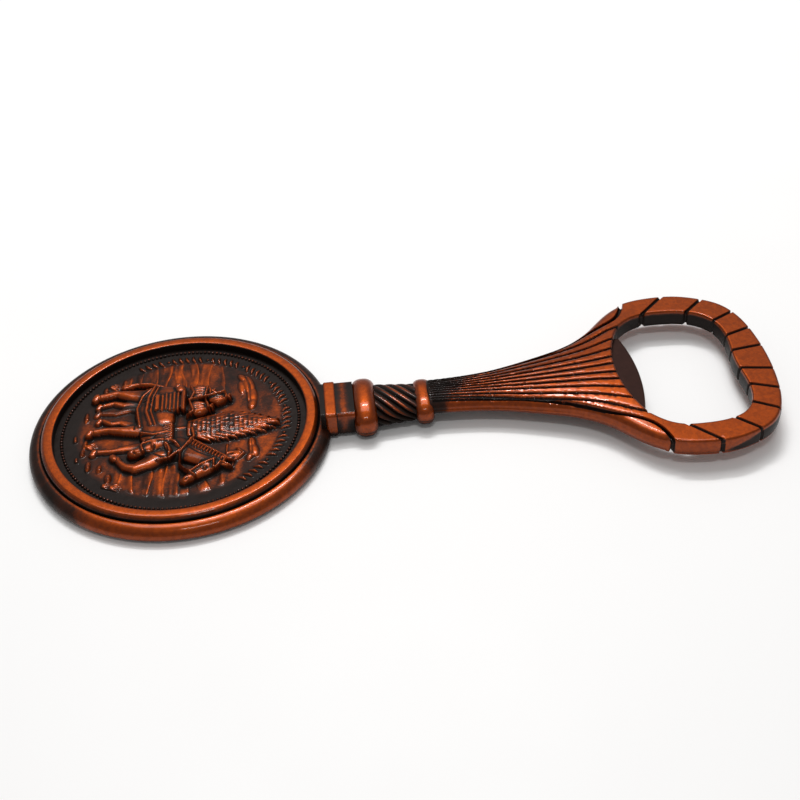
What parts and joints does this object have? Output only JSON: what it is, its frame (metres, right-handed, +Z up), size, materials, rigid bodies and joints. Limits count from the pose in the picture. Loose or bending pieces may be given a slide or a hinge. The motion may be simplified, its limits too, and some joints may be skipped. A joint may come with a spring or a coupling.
{
  "type": "souvenir bottle opener",
  "caption": "Flat souvenir bottle opener in antique copper: round relief medallion, roped neck, fluted fan handle and a grooved opener loop with a cap-lifting lip.",
  "frame": {"origin": "centre of the medallion's flat back, on the plane it rests on", "axes": "+X from the medallion along the handle to the opener loop, +Z up out of the relief face, +Y across"},
  "size_m": [0.135, 0.0546, 0.006],
  "materials": {
    "antique_copper": "antique copper plate over zinc casting, black patina in the recesses, clear lacquer",
    "relief_copper": "antique copper plate with a heavy brown-black patina on the field",
    "lifter_steel": "smooth, blackened with the same patina",
    "magnet_sheet": "matt flexible magnet sheet",
    "glue_film": "thin adhesive film"
  },
  "bodies": {
    "root": {"medallion_tray": "antique_copper", "bezel_ring": "antique_copper", "relief_disc": "relief_copper", "relief_disc_glue": "glue_film", "back_magnet": "magnet_sheet", "magnet_glue": "glue_film", "opener_handle": "antique_copper", "cap_lifter": "lifter_steel"}
  },
  "joints": []
}
